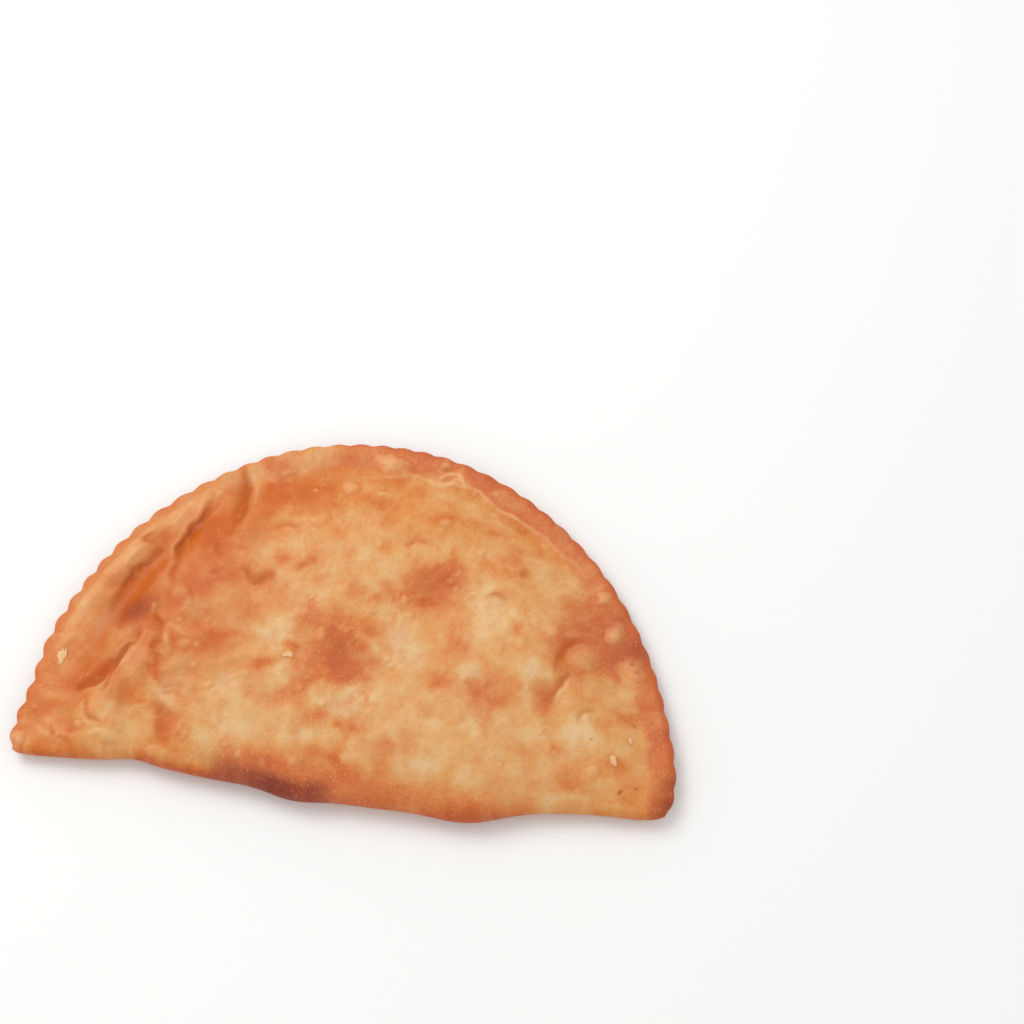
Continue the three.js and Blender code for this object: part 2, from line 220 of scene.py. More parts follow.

# ---- Browned patches: x, y, half width in X and in Y, turn in degrees, browning, redness; those ----
# ---- at (101, 1), (-57, 0) and (45, -4), on the lower edges, are painted shade ----
BROWN_PATCHES = [
    (-3, 40, 11, 11, 20, 0.42, 0.5), (-6.5, 49.5, 5.5, 3.2, 10, 0.22, 0.3),
    (-3.5, 38, 4, 8, -15, 0.14, 0.2), (-13.5, 32.5, 5.5, 4.5, 0, 0.3, 0.4),
    (3, 33.5, 7, 5, -20, 0.22, 0.3), (21, 63, 11, 8.5, -10, 0.4, 0.5), (27, 65.5, 4, 4, 0, 0.22, 0.3),
    (21, 58.5, 4, 3.5, 0, 0.2, 0.2), (-16.5, 25, 5, 4, 0, 0.3, 0.4), (-28, 33, 5, 3.4, 10, 0.28, 0.1),
    (-42.5, 40, 7.5, 5, 10, 0.33, 0.3), (3.5, 18.5, 5.5, 3.2, 0, 0.28, 0.4),
    (-9, 19, 6, 3.5, 0, 0.2, 0.3), (13, 12.5, 5.5, 4, 0, 0.24, 0.4), (26.5, 34.5, 6, 3.4, 0, 0.25, 0.3),
    (43, 33, 10, 6.5, 8, 0.32, 0.6), (2, 101, 5, 2, 0, 0.1, 0.1), (48, 69, 5, 4, 0, 0.12, 0.1),
    (31.5, 46, 4.5, 7.5, 0, 0.25, 0.3), (59.8, 33, 3.5, 5.5, 10, 0.3, 0.5),
    (23, 88, 6, 2.4, 5, 0.22, 0.3), (39, 86, 4, 1.8, 0, 0.2, 0.2), (2, 91, 6, 3, -5, 0.24, 0.4),
    (13.5, 80, 5, 4, 0, 0.12, 0.1), (83.5, 15, 5, 3, 0, 0.22, 0.2), (87.5, 31, 6, 3.5, 0, 0.25, 0.3),
    (78.5, 27, 4, 2.6, 0, 0.2, 0.2), (-45, 60, 10, 5, 25, 0.28, 0.5), (-51, 77, 9, 11, 40, 0.5, 0),
    (-56, 52, 6, 5, 0, 0.15, 0.2), (77, 56, 14, 11, -35, 0.42, 1.5), (66, 50, 6, 8, 0, 0.25, 0.8),
    (-79, 27, 4, 8, -50, 0.4, 0.3), (-70, 48, 7, 5, 0, 0.65, 0.8), (-55.5, 13.5, 3.5, 6, 10, 0.12, 0.2),
    (-32, 94, 4, 8, 0, 0.35, 0.1), (-60, 29, 3, 4.5, 0, 0.25, 0.1), (-22, 92, 12, 9, 0, 0.2, 0.1),
    (-31, 60, 7, 4, 0, 0.15, 0.1), (-41, 70, 6, 5, 0, 0.22, 0.1), (-31, 50, 6, 4, 0, 0.28, 0.2),
    (-9, 54, 6, 3.5, 0, 0.25, 0.2), (-7, 9, 7, 4, 0, 0.28, 0.2), (29, 69, 6, 4, 0, 0.25, 0.3),
    (90, 53, 5, 6, 0, 0.3, 0.6), (-51, 11, 4, 5, 0, 0.2, 0.2), (-17, 66, 7, 6, 0, 0.2, 0.1),
    (42, 74, 7, 6, 0, 0.2, 0.1), (-26, 77, 6, 4, 0, 0.18, 0.1), (25, 82, 7, 4, 0, 0.14, 0.1),
    (-22, 55, 8, 4, 10, 0.1, 0.2), (55, 17, 8, 6, 0, 0.12, 0.1), (101, 1, 4, 8, 0, 0.6, 0.3),
    (98, 27, 4, 6, 0, 0.45, 0.3), (-57, 0, 8, 3, 0, 0.35, 0.1), (-72, 47, 5, 4, 0, 0.15, 0),
    (80, 47, 5, 4, 0, 0.2, 0.8), (88, 54, 5, 6, 0, 0.7, 1), (-13, 105, 14, 4, 8, 0.05, 0.2),
    (-14, 51, 5, 4, 0, 0.25, 0.3), (28, 72, 5, 3.5, 0, 0.25, 0.2), (-18, 38, 3.5, 4, 0, 0.4, 0.3),
    (-16, 3, 14, 3, -8, 0.2, 0.3), (45, -4, 12, 4, 0, 0.25, 0.2), (-34, 103, 6, 4, -20, 0.3, 0.2),
    (70, 41, 4, 4, 0, 0.25, 0.5), (-4, 96, 6, 4, 0, 0.15, 0.1), (-77, 59, 5, 7, -38, 0.2, 0),
    (-12, 108, 6, 2.5, 0, 0.2, 0.3), (-63, 19, 4, 4, 0, 0.2, 0.1), (44, 92, 5, 3, -30, 0.2, 0.3),
    (72, 0, 8, 3, 0, 0.25, 0.1), (51, 50, 5, 5, 0, 0.15, 0.1), (-7, 79, 6, 4, 0, 0.22, 0),
    (72, 8, 6, 4, 0, 0.28, 0.1), (-14, 49, 4, 4, 0, 0.2, 0.3), (-85, 8, 6, 3, 0, 0.2, 0.1),
]

# ---- Pale patches, by how pale they are: x, y, half width in X and in Y, and turn in degrees
# ---- where there is one; (-90, 47) on the rim's puff and (-77, 64) on the flap's lip are a
# ---- painted highlight ----
PALE_PATCHES = {
    0.06: [(6, 71, 8, 6)],
    0.08: [(-63, 28, 4, 5)],
    0.1: [(-6, 14, 14, 4, -6), (86, 41, 5, 7)],
    0.12: [(-77, 64, 4.5, 9, -38), (43, 66, 8, 6)],
    0.13: [(45, 57, 8, 12, 15)],
    0.14: [(-36, 20, 14, 8, 10), (22, 22, 14, 8), (-25, 45, 10, 5, 20)],
    0.15: [(12, 47, 5, 4), (20, 12, 5, 3)],
    0.16: [(56, 22, 8, 6), (86, 24, 4, 7)],
    0.18: [(60, 72, 10, 7, 20)],
    0.2: [
        (14, 44, 8, 7), (-60, 84, 8, 4, 45), (54, 39, 4, 6), (26, 11, 9, 4), (40, 24, 8, 5),
        (10, 54, 6, 5), (-66, 3, 14, 3), (-78, 44, 5, 6, -20), (-25, 25, 5, 3.5), (-78, 45, 4, 5, -20),
        (-56, 23, 4, 5), (88, 0, 8, 3), (-90, 47, 3, 8, -20), (-56, 2, 8, 3), (-24, 25, 5, 4),
        (39, 4, 6, 3), (-63, 30, 4, 4), (26, 96, 6, 3, -10),
    ],
    0.22: [(-49, 49, 5, 5)],
    0.25: [
        (-55, 22, 4, 5), (6, 29, 9, 4), (-72, 13, 8, 6, 20), (70, 2, 14, 4), (14, 15, 5, 3),
        (-97, 1, 4, 3), (14, 14, 5, 4), (23, 6, 9, 4), (1, 25.5, 4, 3), (-67, 9, 7, 4), (-51, 30, 5, 5),
        (-44, 97, 4, 4), (35, 47, 5, 5),
    ],
    0.26: [(72, 23, 6, 8)],
    0.3: [
        (25, 104, 5, 3), (-2, 23, 5.5, 2.8), (37, 38, 4, 3), (38, 35, 5, 4), (-78, 45, 5, 7, -20),
        (-2, 20, 3.5, 3), (7, 63, 6, 4), (-15, 13, 6, 4), (43, 99, 7, 4, -25),
    ],
    0.35: [(-4, 23, 6, 3.5), (-48, 49, 6, 5)],
    0.4: [(8, 38, 4.5, 5)],
}

# ---- Scraps of torn skin: x, y, half width in X and in Y, turn, seed ----
SCRAPS = [
    (-91.0, 31.6, 1.2, 2.8, -12, 5), (83.6, 16.6, 1.0, 1.8, 20, 11), (-19.5, 37.3, 1.8, 0.9, 10, 23),
    (88.2, 23.6, 0.7, 1.1, 0, 31),
]

# ---- Dark specks and scorched places, and painted shade at the right tip's edge (x of 100 and
# ---- more): x, y, radius, strength; they are 1.3 times as long, and turned by 40 degrees ----
SCORCHES = [
    (86.3, 7.5, 0.6, 0.7), (91, 9, 0.4, 0.5), (89, 28, 0.4, 0.4), (76, 22, 0.4, 0.3),
    (82, 52, 0.35, 0.3), (83.6, 49.5, 0.35, 0.4), (86.9, 48.4, 0.45, 0.5), (88.6, 45.6, 0.3, 0.3),
    (76.4, 72.2, 0.3, 0.4), (94.5, 30, 0.35, 0.35), (96, 22, 0.3, 0.3), (89.5, 38, 0.3, 0.3),
    (97.5, 14, 0.35, 0.3), (91.5, 49.5, 0.4, 0.4), (89, 54.5, 3.8, 0.4), (83.5, 50.5, 3, 0.1),
    (81, 63, 4, 0.15), (-71, 48, 4.4, 0.4), (-68, 48.3, 3.4, 0.22), (21, 66, 4, 0.12),
    (-6, 41, 4, 0.12), (0, 37, 4, 0.12), (101.5, 5, 3.5, 0.6), (101.5, 12, 2.5, 0.35),
    (100, 27, 2, 0.2),
]


# ======== numbers

def bell(q):
    """A hump of height 1 that fades to both sides: e to the power of minus q squared."""
    return np.exp(-q * q)


def rise(q, power):
    """From 0 at the start up to 1: 1 less a falling exponential of q to a power. A higher power
    starts more gently."""
    return 1 - np.exp(-np.maximum(q, 0) ** power)


def ease(q, low, high):
    """From 0 at low to 1 at high along an S: three squares less two cubes of the way passed."""
    t = np.clip((q - low) / (high - low), 0, 1)
    return t * t * (3 - 2 * t)


def wander(x, y, size, seed):
    """Gradient noise from about -1 to 1: every corner of a square lattice, size mm apart,
    has a random slope, and the four ramps round a point are blended with a quintic ease."""
    turn = np.random.default_rng(seed).uniform(0, 2 * np.pi, (LATTICE, LATTICE))
    u, v = x / size, y / size
    column, row = np.floor(u).astype(int), np.floor(v).astype(int)
    s, t = u - column, v - row

    def ramp(right, up):
        angle = turn[(column + right) % LATTICE, (row + up) % LATTICE]
        return np.cos(angle) * (s - right) + np.sin(angle) * (t - up)

    across, along = (q ** 3 * (q * (6 * q - 15) + 10) for q in (s, t))
    below = ramp(0, 0) * (1 - across) + ramp(1, 0) * across
    above = ramp(0, 1) * (1 - across) + ramp(1, 1) * across
    return 1.6 * (below * (1 - along) + above * along)


def mottle(x, y, size, seed, layers=3):
    """Gradient noise in layers, each half the size and half the strength of the one before and
    turned against it, so that the lattices don't show."""
    total = 0
    for k in range(layers):
        c, s = math.cos(seed + 1.1 * k), math.sin(seed + 1.1 * k)
        total = total + wander(x * c - y * s, x * s + y * c, size / 2 ** k, seed + k) / 2 ** k
    return total


def smooth_run(points, steps=6):
    """A smooth run through given points: each stretch is a cubic whose slopes at its ends
    follow the points on either side."""
    p = np.array(points, float)
    p = np.vstack([2 * p[0] - p[1], p, 2 * p[-1] - p[-2]])
    t = np.linspace(0, 1, steps, endpoint=False)[:, None]
    stretches = [
        0.5 * (2 * b + (c - a) * t + (2 * a - 5 * b + 4 * c - d) * t ** 2
               + (3 * b - a - 3 * c + d) * t ** 3)
        for a, b, c, d in zip(p, p[1:], p[2:], p[3:])
    ]
    return np.vstack(stretches + [p[-2:-1]])


def beside_run(x, y, run):
    """How far each point is from a run (plus on its left), and how far along it, from 0 to 1:
    the nearest of its straight stretches counts."""
    gap = np.full(x.shape, np.inf)
    side, share = np.ones(x.shape), np.zeros(x.shape)
    lengths = np.hypot(*np.diff(run, axis=0).T)
    passed = np.concatenate([[0], np.cumsum(lengths)])
    for (x0, y0), (x1, y1), length, start in zip(run, run[1:], lengths, passed):
        dx, dy = (x1 - x0) / length, (y1 - y0) / length
        along = np.clip((x - x0) * dx + (y - y0) * dy, 0, length)
        distance = np.hypot(x - x0 - along * dx, y - y0 - along * dy)
        nearer = distance < gap
        gap = np.where(nearer, distance, gap)
        side = np.where(nearer, np.sign(dx * (y - y0) - dy * (x - x0)), side)
        share = np.where(nearer, (start + along) / passed[-1], share)
    return gap * side, share


def oval(x, y, at_x, at_y, half_x, half_y, turn=0):
    """Distance from the middle of an ellipse turned by so many degrees, 1 on its outline."""
    c, s = math.cos(math.radians(turn)), math.sin(math.radians(turn))
    u, v = x - at_x, y - at_y
    return np.hypot((u * c + v * s) / half_x, (v * c - u * s) / half_y)


def patch(where, outline, fade):
    """1 in the middle of an oval, down to 0 along an S between two shares of its size."""
    return 1 - ease(oval(*where, *outline), *fade)


def averaged(grid, reach):
    """A grid's values, each replaced by the mean of those up to reach cells away; done twice,
    so that it fades softly."""
    for axis in (0, 1, 0, 1):
        edges = [(reach + 1, reach) if axis == k else (0, 0) for k in range(2)]
        total = np.cumsum(np.pad(grid, edges, mode="edge"), axis=axis)
        behind = np.arange(grid.shape[axis])
        ahead = behind + 2 * reach + 1
        grid = (np.take(total, ahead, axis=axis) - np.take(total, behind, axis=axis)) / (2 * reach + 1)
    return grid


# ======== the plan

Place = namedtuple("Place", "x y angle from_rim from_fold")


def fold_taper(x):
    """1 at the fold's thick middle, down to 0 at both tips: 1 less the square of the way to the
    tip, to the power of three quarters."""
    return np.maximum(1 - (x / HALF_LENGTH) ** 2, 0) ** 0.75


def fold_inset(x):
    """How far the sheets stop short of the fold's outermost line: the lip and the fold's roll."""
    return LIP + FOLD_ROLL * fold_taper(x)


def fold_line(x):
    """The fold's own line: minus the sum of its broad swellings, each a bell."""
    return -sum(reach * bell((x - at) / width) for at, width, reach in FOLD_BULGES)


def plan(columns, rows):
    """Places of a sheet's grid points. A half square (a from -1 to 1, b from 0 to 1) is turned
    into a half disc, ring by ring, and stretched to the half-moon; then the straight side is
    bent to the fold's line and both tips are rounded off."""
    a, b = np.meshgrid(np.linspace(-1, 1, columns + 1), np.linspace(0, 1, rows + 1), indexing="ij")
    radius = np.maximum(np.abs(a), b)
    safe = np.where(radius == 0, 1, radius)
    lift = math.pi / 4 * b / safe
    on_side = np.where(a > 0, lift, math.pi - lift)
    angle = np.where(b > np.abs(a), math.pi / 4 * (2 - a / safe), on_side)
    angle = np.where(radius == 0, math.pi / 2, angle)
    across, up = (HALF_LENGTH - LIP) * np.cos(angle), (ARC_DEPTH - LIP) * np.sin(angle)
    long = np.hypot(across, up)
    swells = sum(share * bell((np.degrees(angle) - at) / width) for at, width, share in ARC_SWELLS)
    reach = long * (1 + swells)
    x, y = radius * reach * across / long, radius * reach * up / long
    y = y + (fold_line(x) + fold_inset(x)) * np.maximum(1 - y / FOLD_FADE, 0) ** 3
    for side, softness in TIPS:
        from_tip = np.maximum(HALF_LENGTH - LIP - side * x, 0) + np.maximum(y - LIP, 0)
        pull = TIP_PULL * softness * np.exp(-from_tip / softness)
        x, y = x - side * pull, y + pull
    from_fold = np.maximum(y - fold_line(x) - fold_inset(x), 0)
    return Place(x, y, angle, (1 - radius) * reach, from_fold)


def flute_turn(angle):
    """How many scallops, each half a turn of the sine in flute(), lie between the right tip and
    an angle; their pitch drifts a little."""
    along = angle * (HALF_LENGTH + ARC_DEPTH) / 2
    return along / FLUTE_PITCH + 0.1 * np.sin(along / 25) + 0.08 * np.sin(along / 9.1 + 1) + FLUTE_START


def flute(angle):
    """Reach of the scallops past the lip: a sine without its sign, its corners rounded by taking
    the root of its square and a little more. The scallops are crisper at the left."""
    lobe = np.sqrt(np.sin(math.pi * flute_turn(angle)) ** 2 + 0.05) - 0.6
    return FLUTE_DEPTH * (0.65 + 0.7 / (1 + np.exp((2.3 - angle) / 0.16))) * lobe


def rim_wave(angle):
    """How far the rim rises and falls along the arc: two slow sines."""
    return 0.6 * np.sin(5 * angle + 0.5) + 0.3 * np.sin(11 * angle)


# ======== heights and stains

def pocket_form(place):
    """The CAD model's upper face without its unevenness: the edge's height, more at the fold, plus
    a pocket that rises to the crown away from rim and fold, plus the rim's wave."""
    from_rim, from_fold = place.from_rim, place.from_fold
    edge = RIM_TOP + (FOLD_TOP - RIM_TOP) * fold_taper(place.x) * bell(from_fold / FOLD_REACH)
    above_rim = rise((from_rim - RIM_BAND) / RIM_SHOULDER, 1.4)
    pocket = (CROWN - edge) * above_rim * rise(from_fold / FOLD_SHOULDER, 1)
    return edge + pocket + rim_wave(place.angle) * bell(from_rim / 14)


def broad_relief(place):
    """The CAD model's unevenness: bells across the runs of the broad folds, bells over the
    largest blisters and dents, and a slow swell of sines."""
    x, y, _, from_rim, from_fold = place
    relief = np.zeros(x.shape)
    for height, width, run in BROAD_FOLDS:
        gap, share = beside_run(x, y, np.array(run, float))
        relief += height * bell(gap / width) * np.sin(math.pi * (0.1 + 0.8 * share))
    for *outline, height in BROAD_SPOTS:
        relief += height * bell(oval(x, y, *outline))
    slow = 0.55 * np.sin(x / 17 + 0.8) * np.sin(y / 15 + 0.4) + 0.4 * np.sin(x / 9.5 - y / 13)
    on_pocket = rise((from_rim - RIM_BAND) / 12, 2) * rise(from_fold / 14, 2)
    return relief * rise(from_fold / 3, 2) * rise(from_rim / 2, 2) + slow * on_pocket


def underside_form(place):
    """The CAD model's lower face: flat, and lifted under the rim and a little at the fold, by the
    square of how near the edge is."""
    under_rim = np.maximum(1 - place.from_rim / LIFT_REACH, 0) ** 2
    under_fold = np.maximum(1 - place.from_fold / FOLD_LIFT_REACH, 0) ** 2
    return np.maximum((RIM_LIFT + rim_wave(place.angle)) * under_rim, FOLD_LIFT * under_fold)


def upper_face(place, settings):
    """Height and stains of the upper sheet: the broad form, and on it, one after another, the
    creases, broad painted shade, crumples, painted shade in the hollows and painted highlight on
    the ridges, patches, blisters, rim, grooves, burnt places and painted shade at the fold's foot
    and the right tip."""
    x0, y0, angle, from_rim, from_fold = place
    relief = broad_relief(place)
    browning, redness, crease, burn, skin = (np.zeros(x0.shape) for _ in STAINS)

    def noise(size, seed, layers=3):
        """Mottling over the whole sheet, with features about size mm across."""
        return mottle(x0, y0, size, seed, layers)

    # Outlines follow a plan that wanders a little, so that none is a clean curve.
    x, y = x0 + 0.7 * noise(6, 11, 2), y0 + 0.7 * noise(6, 17, 2)
    rough = x0 + 1.4 * noise(8, 23), y0 + 1.4 * noise(8, 31)

    # A crease is a trough with one steep and one gentle flank, and a ridge beside the steep one.
    # Its trough is darkened with painted shade, and its ridge is paled with painted highlight.
    for depth, width, breadth, ridge, painted_light, points in CREASES:
        run = smooth_run(points)
        reach = 3 * width * abs(breadth) + 2
        low, high = run.min(axis=0) - reach, run.max(axis=0) + reach
        near = (x > low[0]) & (x < high[0]) & (y > low[1]) & (y < high[1])
        gap, share = beside_run(x[near], y[near], run)
        gap = gap * (1 if breadth > 0 else -1)
        taper = np.clip(4 * share * (1 - share), 0, 1) ** 0.75
        taper = taper * (1 + 0.45 * wander(x[near], y[near], 4, 37))
        slope = bell(gap / np.where(gap > 0, width * abs(breadth), width))
        core = bell(gap / np.where(gap > 0, 1.6 * width, width))
        beside = bell((gap + 2.2 * width) / (1.3 * width))
        deep = depth * (0.55 * core + 0.45 * slope)
        relief[near] += settings.crease_relief * taper * (ridge * beside - deep)
        crease[near] += 1.3 * max(painted_light, 0) * taper * (0.7 * core + 0.5 * slope)
        burn[near] += 0.25 * max(painted_light, 0) * taper * bell(gap / (0.7 * width))
        skin[near] += taper * (0.3 * ridge * beside + max(-painted_light, 0) * slope)
    # Broad patches of painted shade; the pale skin is later cut back inside them.
    shade = np.zeros(x0.shape)
    for painted_light, outlines in SHADES.items():
        for outline in outlines:
            mask = painted_light * patch(rough, outline, SHADE_FADE)
            crease += mask
            shade = np.maximum(shade, mask)

    # The dough is crumpled, most on the left flank: sharp ridges run where slow noise crosses 0.
    flank = ease(-x0, 28, 55) * rise(from_rim / 7, 2)
    ridges = bell(mottle(0.8 * x0 - 0.6 * y0, 0.55 * x0 + 0.75 * y0, 19, 83, 2) / 0.2)
    wrinkles = bell(noise(10, 97, 2) / 0.13) * ease(noise(20, 103, 2), -0.1, 0.5)
    relief += settings.crumple * ((0.25 + 0.75 * flank) * ridges + 0.25 * wrinkles)
    relief += 0.22 * noise(7, 71) * rise(from_rim / 4, 2)
    skin += 0.22 * wrinkles

    # Painted shade darkens the hollows, where the height lies below its local mean, and painted
    # highlight pales the ridges; inside the broad painted shade the pale skin is cut back.
    hollow = averaged(relief, HOLLOW_REACH) - relief
    crease += (0.3 + 0.4 * flank) * np.clip(hollow / 0.6, 0, 1.2)
    skin += (0.1 + 0.3 * flank) * np.clip(-hollow / 0.8, 0, 1)
    skin *= 1 - 0.7 * shade

    # Patches of browning and paleness, with blotchy outlines.
    uneven = 1 + 0.35 * noise(4.5, 107, 2)
    for *outline, brown, red in BROWN_PATCHES + small_spots(settings):
        mask = patch(rough, outline, BROWN_FADE) * uneven
        browning += 1.25 * brown * mask
        redness += red * mask
    for pale, outlines in PALE_PATCHES.items():
        for outline in outlines:
            browning -= pale * patch(rough, outline, PALE_FADE)

    # Blisters are domes with a pale skin, a thread of it round the foot, and painted shade on their
    # lower right flank, the side turned from the light.
    wobble = 0.16 * noise(3.2, 109, 2)
    for at_x, at_y, half_x, half_y, turn, tall, pale in BLISTERS + small_blisters(settings):
        q = oval(x, y, at_x, at_y, half_x, half_y, turn) + wobble
        relief += 2.0 * settings.blister_relief * tall * np.maximum(1 - q * q, 0) ** 1.3
        redness *= 1 - 0.8 * min(1.3 * pale, 1) * (1 - ease(q, 0.5, 1.15))
        cover = (1 - ease(q, 0.3, 1.1)) * uneven + 0.35 * bell((q - 0.85) / 0.12)
        skin = np.maximum(skin, pale * cover)
        away = np.clip(0.6 * (x - at_x) / half_x - 0.5 * (y - at_y) / half_y, 0, 1)
        crease += 0.7 * pale * away * bell((q - 0.8) / 0.3)
        browning += 0.2 * pale * bell((q - 1.15) / 0.15)

    # Slow changes over the sheet: browner towards the top, the left tip and the left flank, paler in
    # the middle; painted shade on the left flank and along the fold's foot, where it turns down from
    # the light.
    upper_left = ease(-x0, 20, 60) * ease(y0, 12, 40)
    browning += 0.41 + 0.1 * noise(15, 41) + 0.09 * noise(6, 47)
    browning += 0.1 * upper_left + 0.08 * ease(y0, 70, 100) + 0.25 * ease(-x0, 78, 98)
    browning -= 0.17 * rise((from_rim - 10) / 14, 2) * ease(x0, -60, -30) * (1 - ease(y0, 70, 95))
    browning += 0.18 * bell((from_fold + 1) / 3.5) * (0.5 + 0.5 * ease(x0, -60, -30))
    crease += 0.4 * upper_left * rise((from_rim - 5) / 6, 2)

    # The pressed rim: reddish on the right, pale on the left, with a thin browned edge.
    right = 1 - ease(angle, 1.35, 1.8)
    left = (1 - right) * ease(y0, 15, 45)
    band = 6.0 + 1.5 * noise(9, 53)
    on_band = 1 - ease(from_rim, band - 1.5, band + 1.5)
    redness += on_band * (0.25 + 0.65 * right)
    browning += on_band * (0.22 * right - 0.17 * left) + (0.06 + 0.2 * right) * bell(from_rim / 0.9)
    # Painted shade in a band about 11 mm inside the rim, on the arc's left half.
    crease += 0.3 * (1 - right) * bell((from_rim - 11) / 4.5) * rise(from_fold / 12, 2)

    # The grooves between the scallops run a little way in from the edge.
    groove = np.cos(2 * math.pi * flute_turn(angle))
    relief -= 0.08 * groove * bell((from_rim - 0.5) / 2.5) * rise(from_fold / 8, 2)

    # The burnt strip low on the fold, painted shade as a fainter strip to its right along the fold's
    # foot, and the browning round them.
    up = y0 - fold_line(x0)
    middle = 1.6 + 2.4 * (1 - ease(x0, -40, -28)) - 0.9 * noise(10, 59)
    along = (0.4 * ease(x0, -44, -36) + 0.6 * ease(x0, -38, -24)) * (1 - ease(x0, -10, 3))
    burn += 1.05 * bell((up - middle) / 3.2) * along * (1 + 0.15 * noise(9, 61))
    burn += 0.18 * bell(up / 3) * ease(x0, 12, 28) * (1 - ease(x0, 48, 66))
    halo = bell((up - 2.5) / 7.5) * ease(x0, -44, -32)
    halo = halo * (1 - 0.6 * ease(x0, 0, 30) - 0.4 * ease(x0, 45, 70))
    browning += 0.45 * halo
    redness += 0.8 * halo
    # Scorches darken with burn and the deep orange of the painted shade; those at the right tip's edge
    # are painted shade themselves.
    for at_x, at_y, radius, strength in SCORCHES:
        spot = bell(oval(x, y, at_x, at_y, 1.3 * radius, radius, 40))
        burn += strength * spot
        crease += strength * spot
        skin *= 1 - min(4 * strength, 1) * spot

    # Stains that lie over one another deepen less and less.
    over = np.maximum(browning - SOFT_FROM, 0)
    browning -= over - SOFT_ROOM * (1 - np.exp(-over / SOFT_ROOM))
    redness = 1 - np.exp(-redness)
    crease = 1 - np.exp(-1.5 * crease)
    grain = 0.15 * settings.grain_relief / MM * noise(2.6, 73, 1)
    stains = np.stack([browning, redness, crease, burn, skin], axis=-1)
    return pocket_form(place) + relief + grain, stains


def small_blisters(settings):
    """Tiny blisters strewn at random over the half-moon, thicker towards the rim and both ends."""
    rng = np.random.default_rng(101)
    count = settings.small_blisters
    angle = rng.uniform(*STREWN_ANGLES, count)
    depth = rng.beta(1.1, 2.2, count)
    x = (1 - depth) * (HALF_LENGTH - 4) * np.cos(angle)
    y = (1 - depth) * (ARC_DEPTH - 4) * np.sin(angle)
    size = np.minimum(rng.gamma(3.0, 0.27, count) + 0.45, LARGEST_SMALL_BLISTER)
    long, turn = rng.uniform(0.7, 1.5, count), rng.uniform(0, 180, count)
    tall, pale = 0.08 + 0.14 * rng.random(count), 0.12 + 0.5 * rng.random(count) ** 1.5
    return list(zip(x, y, size * long, size, turn, tall, pale))


def small_spots(settings):
    """Small browned spots strewn at random over the pocket, most of them faint."""
    rng = np.random.default_rng(211)
    count = settings.small_spots
    angle, depth = rng.uniform(*STREWN_ANGLES, count), rng.uniform(0.12, 1, count) ** 0.8
    x = (1 - depth) * HALF_LENGTH * np.cos(angle)
    y = (1 - depth) * ARC_DEPTH * np.sin(angle) + rng.uniform(0, 30, count) * depth
    size = 1.3 + rng.gamma(2.2, 0.9, count)
    long, turn = rng.uniform(0.8, 1.3, count), rng.uniform(-30, 150, count)
    brown, red = 0.04 + 0.2 * rng.random(count) ** 1.5, 0.3 * rng.random(count)
    return list(zip(x, y, size * long, size, turn, brown, red))


def lower_face(place, settings):
    """Height and stains of the lower sheet: pressed flat, with random blotches, and a browner
    ring where the dough lay hardest against the pan."""
    x, y, _, from_rim, from_fold = place
    height = underside_form(place)
    browning, redness, clean = (np.zeros(x.shape) for _ in range(3))
    rough = x + 3 * mottle(x, y, 12, 131), y + 3 * mottle(x, y, 12, 137)
    rng = np.random.default_rng(139)
    for _ in range(PAN_MARKS):
        angle, depth = rng.uniform(*STREWN_ANGLES), rng.uniform(0, 1) ** 0.6
        at_x = depth * (HALF_LENGTH - 10) * math.cos(angle)
        at_y = depth * (ARC_DEPTH - 10) * math.sin(angle)
        half, long, turn = rng.uniform(2, 8), rng.uniform(0.6, 1.5), rng.uniform(0, 180)
        brown, red = rng.uniform(-0.1, 0.4), rng.uniform(0, 0.5)
        mask = patch(rough, (at_x, at_y, half * long, half, turn), MARK_FADE)
        browning += brown * mask
        redness += 2 * max(brown, 0) * red * mask
        height += 0.12 * settings.blister_relief * rng.uniform(0, 1) * mask
    ring = bell((from_rim - 15) / 6) * rise(from_fold / 6, 2)
    browning += 0.42 + 0.14 * mottle(x, y, 16, 149) + 0.08 * mottle(x, y, 5, 151)
    browning += 0.2 * ring + 0.25 * bell(from_rim / 2) + 0.2 * bell(from_fold / 6)
    redness += 0.5 * bell(from_rim / 6)
    height += 0.1 * (1 + mottle(x, y, 6, 157, 2)) * rise(from_rim / 4, 2)
    return height, np.stack([browning, redness, clean, clean, clean], axis=-1)


# ======== the crust's mesh

def border_of(sheet):
    """Grid indices and places of a sheet's border: along the fold, up the right, back over the
    arc and down the left."""
    columns, rows = (size - 1 for size in sheet.x.shape)
    i = np.concatenate([
        np.arange(columns), np.full(rows, columns), np.arange(columns, 0, -1), np.zeros(rows, int)])
    j = np.concatenate([
        np.zeros(columns, int), np.arange(rows), np.full(columns, rows), np.arange(rows, 0, -1)])
    return i, j, Place(*(values[i, j] for values in sheet))


def sheet_quads(index, faces_up):
    """Four-sided faces between the grid's points, each cell's corners in turn."""
    p, q, r, s = index[:-1, :-1], index[1:, :-1], index[1:, 1:], index[:-1, 1:]
    corners = (p, q, r, s) if faces_up else (p, s, r, q)
    return np.stack([c.ravel() for c in corners], axis=1)


